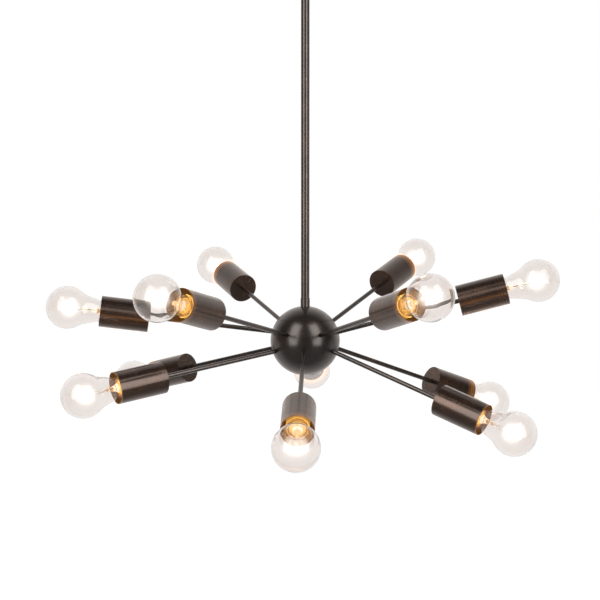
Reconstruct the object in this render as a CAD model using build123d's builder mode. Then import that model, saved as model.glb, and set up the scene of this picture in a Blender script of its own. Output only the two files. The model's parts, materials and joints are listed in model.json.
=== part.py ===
"""Sputnik chandelier: twelve bulbs in cups on straight arms around a ball, on a rod below a canopy.

Millimetres, +Z up. The origin is on the ceiling plane, at the middle of the mounting strap, and
everything hangs below it. A lamp is one arm with its cup, socket and bulb. Each lamp has a plane of
its own: its origin is where the arm meets the ball, and its Z runs outwards along the arm.
"""
import os
from math import cos, radians, sin, sqrt

from build123d import *

os.makedirs("parts", exist_ok=True)

# ---------------------------------------------------------------- driving dimensions
# Bulb: clear globe on a medium screw base, heights from its contact
bulb_diameter = 60.0
bulb_length = 108.0
bulb_glass = 0.8
bulb_neck_diameter = 33.8
bulb_neck_height = 41.0
bulb_throat_diameter = 27.0
bulb_shoulder_angle = 54.0
base_diameter = 26.0
base_height = 27.0
base_wall = 0.6
base_skirt = 4.5
base_plug = 3.0
base_contact_diameter = 9.6
base_contact_height = 1.0
stem_diameter = 6.0
stem_foot = 9.0
stem_height = 46.0
filament_height = 68.0
filament_span = 22.0
filament_diameter = 1.6

# Socket in the cup
socket_diameter = 30.0
socket_recess = 8.0
socket_hold = 24.5
socket_neck_diameter = 16.0
socket_neck_length = 10.0
socket_wire_hole = 4.4
socket_shell_wall = 0.5
socket_shell_inset = 0.5
socket_contact_diameter = 8.0
socket_contact_height = 1.6
base_clearance = 0.35

# Cup: straight tube with a flat closed back
cup_diameter = 43.3
cup_length = 68.0
cup_wall = 1.0
cup_back = 1.2

# Arm: straight tube, screwed into the ball at one end and held by a nut in the cup at the other
arm_diameter = 6.4
arm_bore = 4.4
arm_reach = 174.0
arm_nut_flats = 11.0
arm_nut_height = 4.0
lead_diameter = 3.2
lead_bend_radius = 20.0
lead_height = 5.5
lead_straight = 4.0
lead_end_gap = 0.7

# How the arms are set: two tiers of six, the lower one turned by half a step
lamps_per_tier = 6
tier_tilt = 15.0
# Each arm leans a little from its drilled seat: degrees sideways and upwards
upper_lean = ((-1.5, 0), (-1, 3), (-1, 0), (9.5, -7.5), (-1, -0.5), (0.5, 0))
lower_lean = ((0.5, -5), (1, -0.5), (-3, 0.5), (2.5, 7), (1, -0.5), (1, -3))

# Ball with its lid
ball_diameter = 98.0
ball_wall = 2.0
lid_rise = 31.0
lid_seam = 0.4
lid_lip_height = 3.0
lid_lip_wall = 1.6
boss_diameter = 12.0
boss_depth = 12.0
bridge_width = 18.0
bridge_thickness = 2.5
bridge_drop = 4.5
bridge_foot = 8.0
hub_nut_flats = 14.0
hub_nut_height = 5.0
splice_diameter = 26.0
splice_height = 25.0
splice_rounding = 5.0
splice_drop = 4.0

# Rod with its collar and hollow nipples
rod_diameter = 12.0
rod_bore = 9.8
rod_length = 305.0
collar_diameter = 13.2
collar_height = 12.0
collar_chamfer = 0.6
nipple_diameter = 9.6
nipple_bore = 6.8
nipple_grip = 12.0
nipple_tail = 2.0
cable_diameter = 5.5

# Knuckle between the canopy and the rod
ear_thickness = 3.5
ear_width = 14.0
tongue_width = 12.6
pivot_drop = 16.0
pivot_diameter = 5.0
pivot_head_diameter = 8.0
pivot_head_height = 2.0
flange_diameter = 25.0
flange_height = 4.0
flange_rounding = 1.5
swivel_thread = 10.4
tongue_body_diameter = 16.0
tongue_body_height = 18.0
tongue_shoulder = 9.0
tongue_slot_floor = 3.0
tongue_rounding = 2.0
lock_nut_flats = 16.0
lock_nut_height = 5.0

# Canopy and what hangs it
canopy_diameter = 127.0
canopy_depth = 24.0
canopy_wall = 1.2
canopy_rounding = 9.0
strap_length = 120.0
strap_width = 20.0
strap_thickness = 2.0
strap_hole_diameter = 10.5
box_screw_spacing = 88.9
box_slot_length = 12.0
box_slot_width = 4.6
canopy_screw_spacing = 60.0
canopy_screw_diameter = 4.0
cap_nut_diameter = 9.5
cap_nut_height = 10.0
cap_nut_rounding = 4.0
cap_nut_grip = 5.0
ground_screw_place = -16.0
ground_screw_diameter = 3.8
ground_head_flats = 7.0
ground_head_height = 2.6
wire_nut_diameter = 11.0
wire_nut_tip_diameter = 7.0
wire_nut_length = 20.0
wire_nut_bore = 4.0
wire_nut_spacing = 26.0
wire_nut_reach = 26.0
supply_lead_diameter = 2.4
supply_lead_spacing = 3.2
supply_lead_rise = 6.0
supply_lead_bend = 4.0

# Fits
running_fit = 0.05
loose_fit = 0.1
face_gap = 0.2

# ---------------------------------------------------------------- worked-out places
# Heights, from the ceiling down
flange_top = -canopy_depth - face_gap
flange_bottom = flange_top - flange_height
swivel_top = flange_top + swivel_thread
pivot_height = flange_bottom - pivot_drop
tongue_top = pivot_height - tongue_shoulder
tongue_bottom = tongue_top - tongue_body_height
rod_joint = tongue_bottom - rod_length
rod_bottom = rod_joint - rod_length
collar_bottom = rod_bottom - collar_height
ball_radius = ball_diameter / 2
ball_inside = ball_radius - ball_wall
ball_height = collar_bottom - sqrt(ball_radius**2 - (collar_diameter / 2) ** 2)
bridge_top = ball_height + lid_rise - bridge_drop
bridge_bottom = bridge_top - bridge_thickness
hub_nut_bottom = bridge_bottom - hub_nut_height
hub_nipple_bottom = hub_nut_bottom - nipple_tail
splice_top = hub_nipple_bottom - splice_drop

# Stations along a lamp, from where the arm meets the ball
cup_floor = arm_reach + cup_back
cup_mouth = arm_reach + cup_length
socket_back = cup_floor + arm_nut_height + 2 * face_gap
arm_end = socket_back + socket_neck_length - loose_fit
socket_mouth = cup_mouth - socket_recess
bulb_tip = socket_mouth - socket_hold
socket_floor = bulb_tip - face_gap - socket_contact_height
shell_radius = base_diameter / 2 + base_clearance


def lamp_plane(azimuth, tilt, lean):
    """Plane of one lamp: origin at its seat on the ball, Z along the arm as it leans."""
    ring = ball_radius * cos(radians(tilt))
    seat = Vector(
        ring * cos(radians(azimuth)),
        ring * sin(radians(azimuth)),
        ball_height + ball_radius * sin(radians(tilt)),
    )
    turn = radians(azimuth + lean[0])
    rise = radians(tilt + lean[1])
    along = Vector(cos(rise) * cos(turn), cos(rise) * sin(turn), sin(rise))
    return Plane(origin=seat, x_dir=(-sin(turn), cos(turn), 0), z_dir=along)


def side_plane(lamp):
    """Plane through a lamp's own axis: X is the radius, and Y runs outwards along the arm."""
    return Plane(origin=lamp.origin, x_dir=lamp.x_dir, z_dir=lamp.y_dir * -1)


def place_on(lamp, station):
    """Point on a lamp's axis, at a distance from the ball."""
    return lamp.origin + lamp.z_dir * station


def finish(piece, name):
    """Label one piece and write it to a file of its own."""
    piece.part.label = name
    export_step(piece.part, f"parts/{name}.step")


tier_step = 360 / lamps_per_tier
upper_azimuths = [count * tier_step for count in range(lamps_per_tier)]
lower_azimuths = [(count + 0.5) * tier_step for count in range(lamps_per_tier)]
azimuths = upper_azimuths + lower_azimuths
upper_lamps = [lamp_plane(turn, tier_tilt, lean) for turn, lean in zip(upper_azimuths, upper_lean)]
lower_lamps = [lamp_plane(turn, -tier_tilt, lean) for turn, lean in zip(lower_azimuths, lower_lean)]
lamps = upper_lamps + lower_lamps
ball_section = Plane(origin=(0, 0, ball_height), x_dir=(1, 0, 0), z_dir=(0, -1, 0))

# ---------------------------------------------------------------- mounting strap and canopy
with BuildPart() as mounting_strap:
    with BuildSketch(Plane.XY.offset(-strap_thickness)):
        SlotOverall(strap_length, strap_width)
        Circle(strap_hole_diameter / 2, mode=Mode.SUBTRACT)
        with GridLocations(box_screw_spacing, 0, 2, 1):
            SlotOverall(box_slot_length, box_slot_width, mode=Mode.SUBTRACT)
        with GridLocations(canopy_screw_spacing, 0, 2, 1):
            Circle(canopy_screw_diameter / 2 + running_fit, mode=Mode.SUBTRACT)
        with Locations((ground_screw_place, 0)):
            Circle(ground_screw_diameter / 2 + running_fit, mode=Mode.SUBTRACT)
    extrude(amount=strap_thickness)
finish(mounting_strap, "mounting_strap")

cap_nut_top = -canopy_depth - face_gap
with BuildPart() as strap_screws:
    with BuildSketch(Plane.XY.offset(cap_nut_top - cap_nut_grip)):
        with GridLocations(canopy_screw_spacing, 0, 2, 1):
            Circle(canopy_screw_diameter / 2)
    extrude(amount=cap_nut_grip - cap_nut_top)
    with BuildSketch(Plane.XY.offset(-strap_thickness - loose_fit - ground_head_height)):
        with Locations((ground_screw_place, 0)):
            RegularPolygon(ground_head_flats / 2, 6, major_radius=False)
    extrude(amount=ground_head_height)
    with BuildSketch(Plane.XY.offset(-strap_thickness - loose_fit)):
        with Locations((ground_screw_place, 0)):
            Circle(ground_screw_diameter / 2)
    extrude(amount=strap_thickness + loose_fit)
finish(strap_screws, "strap_screws")

with BuildPart() as cap_nuts:
    with BuildSketch(Plane.XY.offset(cap_nut_top - cap_nut_height)):
        with GridLocations(canopy_screw_spacing, 0, 2, 1):
            Circle(cap_nut_diameter / 2)
    extrude(amount=cap_nut_height)
    fillet(cap_nuts.edges().group_by(Axis.Z)[0], radius=cap_nut_rounding)
    with BuildSketch(Plane.XY.offset(cap_nut_top)):
        with GridLocations(canopy_screw_spacing, 0, 2, 1):
            Circle(canopy_screw_diameter / 2 + running_fit)
    extrude(amount=-cap_nut_grip - loose_fit, mode=Mode.SUBTRACT)
finish(cap_nuts, "cap_nuts")

with BuildPart() as ceiling_canopy:
    with BuildSketch(Plane.XY.offset(-canopy_depth)):
        Circle(canopy_diameter / 2)
    extrude(amount=canopy_depth)
    fillet(ceiling_canopy.edges().group_by(Axis.Z)[0], radius=canopy_rounding)
    offset(amount=-canopy_wall, openings=ceiling_canopy.faces().sort_by(Axis.Z)[-1])
    with BuildSketch(Plane.XY.offset(-canopy_depth)):
        Circle(nipple_diameter / 2 + running_fit)
        with GridLocations(canopy_screw_spacing, 0, 2, 1):
            Circle(canopy_screw_diameter / 2 + loose_fit)
    extrude(amount=canopy_wall, mode=Mode.SUBTRACT)
finish(ceiling_canopy, "ceiling_canopy")

wire_nut_height = -canopy_depth + canopy_wall + face_gap + wire_nut_diameter / 2
wire_nut_tip = Plane.XZ.offset(wire_nut_reach + wire_nut_length)
wire_nut_mouth = Plane.XZ.offset(wire_nut_reach)
with BuildPart() as wire_nuts:
    for side in (-1, 1):
        with BuildSketch(wire_nut_mouth):
            with Locations((side * wire_nut_spacing / 2, wire_nut_height)):
                Circle(wire_nut_diameter / 2)
        with BuildSketch(wire_nut_tip):
            with Locations((side * wire_nut_spacing / 2, wire_nut_height)):
                Circle(wire_nut_tip_diameter / 2)
        loft()
        with BuildSketch(wire_nut_mouth):
            with Locations((side * wire_nut_spacing / 2, wire_nut_height)):
                Circle(wire_nut_bore / 2)
        extrude(amount=wire_nut_length / 2, mode=Mode.SUBTRACT)
finish(wire_nuts, "wire_nuts")

with BuildPart() as supply_leads:
    for side in (-1, 1):
        start = (side * supply_lead_spacing / 2, 0, swivel_top + face_gap)
        nut_x = side * wire_nut_spacing / 2
        with BuildLine() as route:
            FilletPolyline(
                start,
                (start[0], 0, start[2] + supply_lead_rise),
                (nut_x, -wire_nut_reach / 2, wire_nut_height + supply_lead_rise / 2),
                (nut_x, -wire_nut_reach + supply_lead_bend, wire_nut_height),
                (nut_x, -wire_nut_reach - wire_nut_length / 4, wire_nut_height),
                radius=supply_lead_bend,
            )
        with BuildSketch(Plane(origin=start, z_dir=(0, 0, 1))):
            Circle(supply_lead_diameter / 2)
        sweep(path=route.line)
finish(supply_leads, "supply_leads")

# ---------------------------------------------------------------- knuckle
ear_inside = tongue_width / 2 + face_gap
with BuildPart() as swivel_yoke:
    with BuildSketch(Plane.XY.offset(flange_bottom)):
        Circle(flange_diameter / 2)
    extrude(amount=flange_height)
    fillet(swivel_yoke.edges().group_by(Axis.Z)[0], radius=flange_rounding)
    with BuildSketch(Plane.XY.offset(flange_top)):
        Circle(nipple_diameter / 2)
    extrude(amount=swivel_thread)
    with BuildSketch(Plane.YZ.offset(ear_inside)):
        with Locations((0, pivot_height)):
            Circle(ear_width / 2)
            Rectangle(ear_width, pivot_drop, align=(Align.CENTER, Align.MIN))
            Circle(pivot_diameter / 2 + running_fit, mode=Mode.SUBTRACT)
    extrude(amount=ear_thickness)
    mirror(about=Plane.YZ)
    with BuildSketch(Plane.XY.offset(flange_bottom)):
        Circle(nipple_bore / 2)
    extrude(amount=flange_height + swivel_thread, mode=Mode.SUBTRACT)
finish(swivel_yoke, "swivel_yoke")

with BuildPart() as swivel_lock_nut:
    with BuildSketch(Plane.XY.offset(-canopy_depth + canopy_wall + face_gap)):
        RegularPolygon(lock_nut_flats / 2, 6, major_radius=False)
        Circle(nipple_diameter / 2 + running_fit, mode=Mode.SUBTRACT)
    extrude(amount=lock_nut_height)
finish(swivel_lock_nut, "swivel_lock_nut")

ear_outside = ear_inside + ear_thickness
pivot_inner_end = nipple_bore / 2 + face_gap
with BuildPart() as swivel_pivots:
    with BuildSketch(Plane.YZ.offset(pivot_inner_end)):
        with Locations((0, pivot_height)):
            Circle(pivot_diameter / 2)
    extrude(amount=ear_outside + loose_fit - pivot_inner_end)
    with BuildSketch(Plane.YZ.offset(ear_outside + loose_fit)):
        with Locations((0, pivot_height)):
            Circle(pivot_head_diameter / 2)
    extrude(amount=pivot_head_height)
    mirror(about=Plane.YZ)
finish(swivel_pivots, "swivel_pivots")

with BuildPart() as swivel_cable:
    with BuildSketch(Plane.XY.offset(pivot_height + running_fit)):
        Circle(cable_diameter / 2)
    extrude(amount=swivel_top - face_gap - pivot_height)
finish(swivel_cable, "swivel_cable")

with BuildPart() as swivel_tongue:
    with BuildSketch(Plane.XY.offset(tongue_bottom)):
        Circle(tongue_body_diameter / 2)
    extrude(amount=tongue_body_height)
    fillet(swivel_tongue.edges().filter_by(GeomType.CIRCLE), radius=tongue_rounding)
    with BuildSketch(Plane.YZ):
        with Locations((0, pivot_height)):
            Circle(ear_width / 2)
            Rectangle(ear_width, tongue_shoulder + tongue_rounding, align=(Align.CENTER, Align.MAX))
            Circle(pivot_diameter / 2 + running_fit, mode=Mode.SUBTRACT)
    extrude(amount=tongue_width / 2, both=True)
    with BuildSketch(Plane.XY.offset(tongue_bottom)):
        Circle(nipple_diameter / 2 + running_fit)
    extrude(amount=nipple_grip + loose_fit, mode=Mode.SUBTRACT)
    with BuildSketch(Plane.XY.offset(tongue_bottom)):
        Circle(nipple_bore / 2)
    extrude(amount=pivot_height - tongue_bottom, mode=Mode.SUBTRACT)
    with BuildSketch(Plane.XY.offset(pivot_height - tongue_slot_floor)):
        Rectangle(nipple_bore, ear_width)
    extrude(amount=ear_width, mode=Mode.SUBTRACT)
finish(swivel_tongue, "swivel_tongue")

# ---------------------------------------------------------------- rod
with BuildPart() as stem_rods:
    for bottom in (rod_bottom, rod_joint + loose_fit):
        with BuildSketch(Plane.XY.offset(bottom)):
            Circle(rod_diameter / 2)
            Circle(rod_bore / 2, mode=Mode.SUBTRACT)
        extrude(amount=rod_length - loose_fit)
finish(stem_rods, "stem_rods")

hub_nipple_top = rod_bottom + nipple_grip
nipple_spans = (
    (tongue_bottom - nipple_grip, tongue_bottom + nipple_grip),
    (rod_joint - nipple_grip, rod_joint + nipple_grip),
    (hub_nipple_bottom, hub_nipple_top),
)
with BuildPart() as hollow_nipples:
    for bottom, top in nipple_spans:
        with BuildSketch(Plane.XY.offset(bottom)):
            Circle(nipple_diameter / 2)
            Circle(nipple_bore / 2, mode=Mode.SUBTRACT)
        extrude(amount=top - bottom)
finish(hollow_nipples, "hollow_nipples")

with BuildPart() as stem_cable:
    with BuildSketch(Plane.XY.offset(splice_top + loose_fit)):
        Circle(cable_diameter / 2)
    extrude(amount=pivot_height - tongue_slot_floor - face_gap - splice_top - loose_fit)
finish(stem_cable, "stem_cable")

# ---------------------------------------------------------------- ball
with BuildPart() as hub_collar:
    with BuildSketch(Plane.XY.offset(collar_bottom)):
        Circle(collar_diameter / 2)
    extrude(amount=collar_height)
    chamfer(hub_collar.edges().group_by(Axis.Z)[-1], length=collar_chamfer)
    with BuildSketch(Plane.XY.offset(collar_bottom)):
        Circle(nipple_diameter / 2 + running_fit)
    extrude(amount=collar_height, mode=Mode.SUBTRACT)
finish(hub_collar, "hub_collar")

lid_lip_radius = sqrt(ball_inside**2 - lid_rise**2) - face_gap
with BuildPart() as hub_lid:
    with BuildSketch(ball_section):
        Circle(ball_radius)
        Circle(ball_inside, mode=Mode.SUBTRACT)
        with Locations((0, lid_rise)):
            Rectangle(ball_radius, ball_radius, align=(Align.MIN, Align.MIN), mode=Mode.INTERSECT)
        with Locations((lid_lip_radius, lid_rise)):
            Rectangle(lid_lip_wall, 2 * lid_lip_height, align=(Align.MAX, Align.CENTER))
        with Locations((0, lid_rise)):
            Rectangle(
                nipple_diameter / 2 + loose_fit,
                ball_radius,
                align=(Align.MIN, Align.MIN),
                mode=Mode.SUBTRACT,
            )
        with Locations((0, collar_bottom - ball_height)):
            Rectangle(ball_radius, ball_radius, align=(Align.MIN, Align.MIN), mode=Mode.SUBTRACT)
    revolve(axis=Axis.Z)
finish(hub_lid, "hub_lid")

bridge_outside = ball_inside - loose_fit
bridge_rise = bridge_top - ball_height
with BuildSketch() as bridge_hollow:
    Circle(bridge_outside - bridge_thickness)
    with Locations((0, bridge_rise - bridge_thickness)):
        Rectangle(2 * ball_radius, ball_radius, align=(Align.CENTER, Align.MAX), mode=Mode.INTERSECT)
with BuildPart() as hub_bridge:
    with BuildSketch(ball_section):
        Circle(bridge_outside)
        with Locations((0, bridge_rise)):
            Rectangle(ball_radius, bridge_foot, align=(Align.MIN, Align.MAX), mode=Mode.INTERSECT)
        add(bridge_hollow.sketch_local, mode=Mode.SUBTRACT)
        with Locations((0, bridge_rise)):
            Rectangle(
                nipple_diameter / 2 + running_fit,
                bridge_foot,
                align=(Align.MIN, Align.MAX),
                mode=Mode.SUBTRACT,
            )
    revolve(axis=Axis.Z)
    with Locations((0, 0, bridge_top)):
        Box(bridge_width, ball_diameter, 2 * bridge_foot, mode=Mode.INTERSECT)
finish(hub_bridge, "hub_bridge")

with BuildPart() as hub_nut:
    with BuildSketch(Plane.XY.offset(hub_nut_bottom)):
        RegularPolygon(hub_nut_flats / 2, 6, major_radius=False)
        Circle(nipple_diameter / 2 + running_fit, mode=Mode.SUBTRACT)
    extrude(amount=hub_nut_height)
finish(hub_nut, "hub_nut")

# Short threaded bosses inside the ball, each in line with its own arm
with BuildPart() as arm_bosses:
    for lamp in lamps:
        with BuildSketch(lamp.offset(-boss_depth)):
            Circle(boss_diameter / 2)
        extrude(amount=boss_depth + ball_wall)
    with Locations((0, 0, ball_height)):
        Sphere(ball_radius - ball_wall / 2, mode=Mode.INTERSECT)

with BuildPart() as hub_shell:
    with BuildSketch(ball_section):
        Circle(ball_radius)
        Circle(ball_inside, mode=Mode.SUBTRACT)
        with Locations((0, lid_rise - lid_seam)):
            Rectangle(ball_radius, ball_diameter, align=(Align.MIN, Align.MAX), mode=Mode.INTERSECT)
    revolve(axis=Axis.Z)
    add(arm_bosses.part)
    for lamp in lamps:
        with BuildSketch(lamp.offset(-boss_depth - ball_wall)):
            Circle(arm_diameter / 2 + running_fit)
        extrude(amount=boss_depth + 3 * ball_wall, mode=Mode.SUBTRACT)
finish(hub_shell, "hub_shell")

splice_bottom = splice_top - splice_height
with BuildPart() as hub_splice:
    with BuildSketch(Plane.XY.offset(splice_bottom)):
        Circle(splice_diameter / 2)
    extrude(amount=splice_height)
    fillet(hub_splice.edges().filter_by(GeomType.CIRCLE), radius=splice_rounding)
finish(hub_splice, "hub_splice")

with BuildPart() as arm_leads:
    for azimuth, lamp in zip(azimuths, lamps):
        start = place_on(lamp, socket_floor - loose_fit)
        bend = place_on(lamp, -boss_depth - lead_straight)
        tier_side = 1 if lamp in upper_lamps else -1
        lead_end = splice_diameter / 2 + lead_end_gap
        splice_side = Vector(
            lead_end * cos(radians(azimuth)),
            lead_end * sin(radians(azimuth)),
            ball_height + tier_side * lead_height,
        )
        with BuildLine() as route:
            FilletPolyline(start, bend, splice_side, radius=lead_bend_radius)
        with BuildSketch(Plane(origin=start, z_dir=lamp.z_dir * -1)):
            Circle(lead_diameter / 2)
        sweep(path=route.line)
finish(arm_leads, "arm_leads")

# ---------------------------------------------------------------- what repeats at every lamp
with BuildPart() as arm_nuts:
    for lamp in lamps:
        with BuildSketch(lamp.offset(cup_floor + face_gap)):
            RegularPolygon(arm_nut_flats / 2, 6, major_radius=False)
            Circle(arm_diameter / 2 + running_fit, mode=Mode.SUBTRACT)
        extrude(amount=arm_nut_height)
finish(arm_nuts, "arm_nuts")

socket_shoulder = socket_back + socket_neck_length
with BuildPart() as socket_bodies:
    for lamp in lamps:
        with BuildSketch(side_plane(lamp)):
            with Locations((0, socket_back)):
                Rectangle(
                    socket_neck_diameter / 2,
                    socket_neck_length + loose_fit,
                    align=(Align.MIN, Align.MIN),
                )
                Rectangle(
                    arm_diameter / 2 + running_fit,
                    socket_neck_length,
                    align=(Align.MIN, Align.MIN),
                    mode=Mode.SUBTRACT,
                )
            with Locations((0, socket_shoulder)):
                Rectangle(
                    socket_diameter / 2,
                    socket_mouth - socket_shoulder,
                    align=(Align.MIN, Align.MIN),
                )
                Rectangle(
                    socket_wire_hole / 2,
                    socket_mouth - socket_shoulder,
                    align=(Align.MIN, Align.MIN),
                    mode=Mode.SUBTRACT,
                )
            with Locations((0, socket_floor)):
                Rectangle(
                    shell_radius + socket_shell_wall + loose_fit,
                    socket_mouth - socket_floor,
                    align=(Align.MIN, Align.MIN),
                    mode=Mode.SUBTRACT,
                )
        revolve(axis=Axis(lamp.origin, lamp.z_dir))
finish(socket_bodies, "socket_bodies")

with BuildPart() as socket_terminals:
    for lamp in lamps:
        with BuildSketch(lamp.offset(socket_floor + socket_shell_inset)):
            Circle(shell_radius + socket_shell_wall)
            Circle(shell_radius, mode=Mode.SUBTRACT)
        extrude(amount=socket_mouth - socket_floor - 2 * socket_shell_inset)
        with BuildSketch(lamp.offset(socket_floor)):
            Circle(socket_contact_diameter / 2)
        extrude(amount=socket_contact_height)
finish(socket_terminals, "socket_terminals")

for number, lamp in enumerate(lamps, 1):
    with BuildPart() as arm:
        with BuildSketch(lamp.offset(-boss_depth)):
            Circle(arm_diameter / 2)
            Circle(arm_bore / 2, mode=Mode.SUBTRACT)
        extrude(amount=boss_depth + arm_end)
    finish(arm, f"arm_{number:02d}")

    with BuildPart() as cup:
        with BuildSketch(lamp.offset(arm_reach)):
            Circle(cup_diameter / 2)
        extrude(amount=cup_length)
        with BuildSketch(lamp.offset(cup_floor)):
            Circle(cup_diameter / 2 - cup_wall)
        extrude(amount=cup_length, mode=Mode.SUBTRACT)
        with BuildSketch(lamp.offset(arm_reach)):
            Circle(arm_diameter / 2 + running_fit)
        extrude(amount=cup_back, mode=Mode.SUBTRACT)
    finish(cup, f"cup_{number:02d}")


# ---------------------------------------------------------------- bulbs
def globe_outline(inset):
    """Closed half section of the bulb's glass from throat to crown, drawn inside by an inset."""
    radius = bulb_diameter / 2 - inset
    centre = bulb_length - bulb_diameter / 2
    shoulder = (
        radius * sin(radians(bulb_shoulder_angle)),
        centre - radius * cos(radians(bulb_shoulder_angle)),
    )
    neck = (bulb_neck_diameter / 2 - inset, bulb_neck_height)
    throat = (bulb_throat_diameter / 2 - inset, base_height + loose_fit + inset)
    shoulder_rise = (cos(radians(bulb_shoulder_angle)), sin(radians(bulb_shoulder_angle)))
    crown = (0, centre + radius)
    foot = (0, throat[1])
    Polyline(crown, foot, throat)
    Spline(throat, neck, shoulder, tangents=[(0.5, 1), shoulder_rise])
    ThreePointArc(shoulder, (radius, centre), crown)


def bulb_section(lamp):
    """Section plane of a bulb: X is the radius, and Y is the height above the bulb's contact."""
    return Plane(origin=place_on(lamp, bulb_tip), x_dir=lamp.x_dir, z_dir=lamp.y_dir * -1)


filament_radius = filament_diameter / 2
for number, lamp in enumerate(lamps, 1):
    section = bulb_section(lamp)
    lamp_axis = Axis(lamp.origin, lamp.z_dir)
    with BuildPart() as bulb:
        # Glass
        with BuildSketch(section):
            with BuildLine():
                globe_outline(0)
            make_face()
            with BuildLine():
                globe_outline(bulb_glass)
            make_face(mode=Mode.SUBTRACT)
            Rectangle(
                stem_diameter / 2 + face_gap,
                bulb_neck_height,
                align=(Align.MIN, Align.MIN),
                mode=Mode.SUBTRACT,
            )
        revolve(axis=lamp_axis)
        # Screw shell, its insulating plug and the contact
        with BuildSketch(section):
            with Locations((base_diameter / 2, base_skirt)):
                Rectangle(base_wall, base_height - base_skirt, align=(Align.MAX, Align.MIN))
        revolve(axis=lamp_axis)
        with BuildSketch(section):
            with BuildLine():
                Polyline(
                    (0, base_contact_height + loose_fit),
                    (base_contact_diameter / 2, base_contact_height + loose_fit),
                    (base_diameter / 2 - base_wall - loose_fit, base_skirt),
                    (base_diameter / 2 - base_wall - loose_fit, base_skirt + base_plug),
                    (0, base_skirt + base_plug),
                    close=True,
                )
            make_face()
        revolve(axis=lamp_axis)
        with BuildSketch(section):
            Rectangle(base_contact_diameter / 2, base_contact_height, align=(Align.MIN, Align.MIN))
        revolve(axis=lamp_axis)
        # Glass stem with two wires that hold the filament
        with BuildSketch(lamp.offset(bulb_tip + stem_foot)):
            Circle(stem_diameter / 2)
        extrude(amount=stem_height - stem_foot)
        with BuildSketch(section):
            with BuildLine():
                Polyline(
                    (stem_diameter / 4, stem_height - filament_diameter),
                    (stem_diameter / 4 + filament_diameter, stem_height - filament_diameter),
                    (filament_span / 2 + filament_radius, filament_height + filament_radius),
                    (-filament_span / 2 - filament_radius, filament_height + filament_radius),
                    (-stem_diameter / 4 - filament_diameter, stem_height - filament_diameter),
                    (-stem_diameter / 4, stem_height - filament_diameter),
                    (-filament_span / 2 + filament_radius, filament_height - filament_radius),
                    (filament_span / 2 - filament_radius, filament_height - filament_radius),
                    close=True,
                )
            make_face()
        extrude(amount=filament_radius, both=True)
    finish(bulb, f"bulb_{number:02d}")
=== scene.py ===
"""Looks of a sputnik chandelier: dark bronze tubes and ball, twelve lit clear bulbs, a white studio.

Metres, +Z up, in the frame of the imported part. A lamp is one arm with its cup, socket and bulb.
"""

import json
from math import pi, radians, sin, cos

import bpy
import numpy as np
from bpy.props import FloatProperty, FloatVectorProperty, IntProperty, PointerProperty
from mathutils import Matrix, Vector


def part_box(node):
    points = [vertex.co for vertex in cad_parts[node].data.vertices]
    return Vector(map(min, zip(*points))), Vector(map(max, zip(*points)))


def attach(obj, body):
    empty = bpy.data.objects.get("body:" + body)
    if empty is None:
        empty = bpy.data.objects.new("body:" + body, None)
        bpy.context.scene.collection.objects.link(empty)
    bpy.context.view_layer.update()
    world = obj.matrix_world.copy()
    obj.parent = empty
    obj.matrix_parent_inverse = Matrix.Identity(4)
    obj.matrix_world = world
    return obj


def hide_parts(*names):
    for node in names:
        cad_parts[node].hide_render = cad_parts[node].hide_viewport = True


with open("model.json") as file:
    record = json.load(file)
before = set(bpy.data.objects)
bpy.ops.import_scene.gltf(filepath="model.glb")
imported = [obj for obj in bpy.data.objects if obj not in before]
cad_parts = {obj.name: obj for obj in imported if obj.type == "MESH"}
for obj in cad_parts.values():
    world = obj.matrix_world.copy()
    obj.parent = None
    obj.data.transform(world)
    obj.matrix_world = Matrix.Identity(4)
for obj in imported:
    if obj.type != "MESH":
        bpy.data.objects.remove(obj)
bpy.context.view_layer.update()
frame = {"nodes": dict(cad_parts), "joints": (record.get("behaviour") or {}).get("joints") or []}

bl_info = {
    "name": "Sputnik chandelier",
    "version": (1, 0, 0),
    "blender": (4, 5, 0),
    "location": "View3D > Sidebar > Chandelier",
    "description": "Finishes the chandelier's metal, makes its lit bulbs and sets it in a white studio",
    "category": "Object",
}

mm = 0.001
# share of a bulb's glass stem that its flared foot takes
flare_share = 0.22
# width and height of the studio's lamps, and where the overhead one hangs from the ball's centre
softbox_size = (1.25, 3.2)
overhead_size = (1.6, 1.6)
overhead_place = (0.2, -0.3, 2.4)
strip_size = (1.0, 0.3)
# glow round a cup's mouth, as discs: height above the rim, radius and radiance
glow_discs = (
    (-13.0 * mm, 31.0 * mm, 0.06), (-8.5 * mm, 28.2 * mm, 0.10), (-4.5 * mm, 25.4 * mm, 0.16),
    (-2.0 * mm, 23.7 * mm, 0.08), (0.2 * mm, 24.2 * mm, 0.05), (0.4 * mm, 26.7 * mm, 0.04),
)
axes = {joint["name"]: Vector(joint["axis"]) for joint in frame["joints"] if "axis" in joint}
lamp_numbers = range(1, 1 + sum(name.startswith("bulb_") for name in frame["nodes"]))


def mesh_points(node):
    """Vertices of a CAD node as an array."""
    vertices = frame["nodes"][node].data.vertices
    points = np.empty(3 * len(vertices), np.float32)
    vertices.foreach_get("co", points)
    return points.reshape(-1, 3).astype(float)


def lamp_place(number):
    """Matrix of one lamp: origin at its bulb's contact, X level and Z outwards along the arm."""
    along = axes[f"unscrew_{number:02d}"].normalized()
    level = Vector((-along.y, along.x, 0)).normalized()
    upright = along.cross(level)
    turn = np.array((level, upright, along))
    arm = mesh_points(f"arm_{number:02d}") @ turn.T
    bulb = mesh_points(f"bulb_{number:02d}") @ turn.T
    middle = (arm.min(0) + arm.max(0)) / 2
    origin = turn.T @ (middle[0], middle[1], bulb[:, 2].min())
    place = Matrix(turn.T.tolist()).to_4x4()
    place.translation = origin
    return place


lamp_places = {number: lamp_place(number) for number in lamp_numbers}
hub_radius = (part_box("hub_shell")[1].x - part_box("hub_shell")[0].x) / 2
ball_centre = Vector((0, 0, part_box("hub_shell")[0].z + hub_radius))


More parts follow.
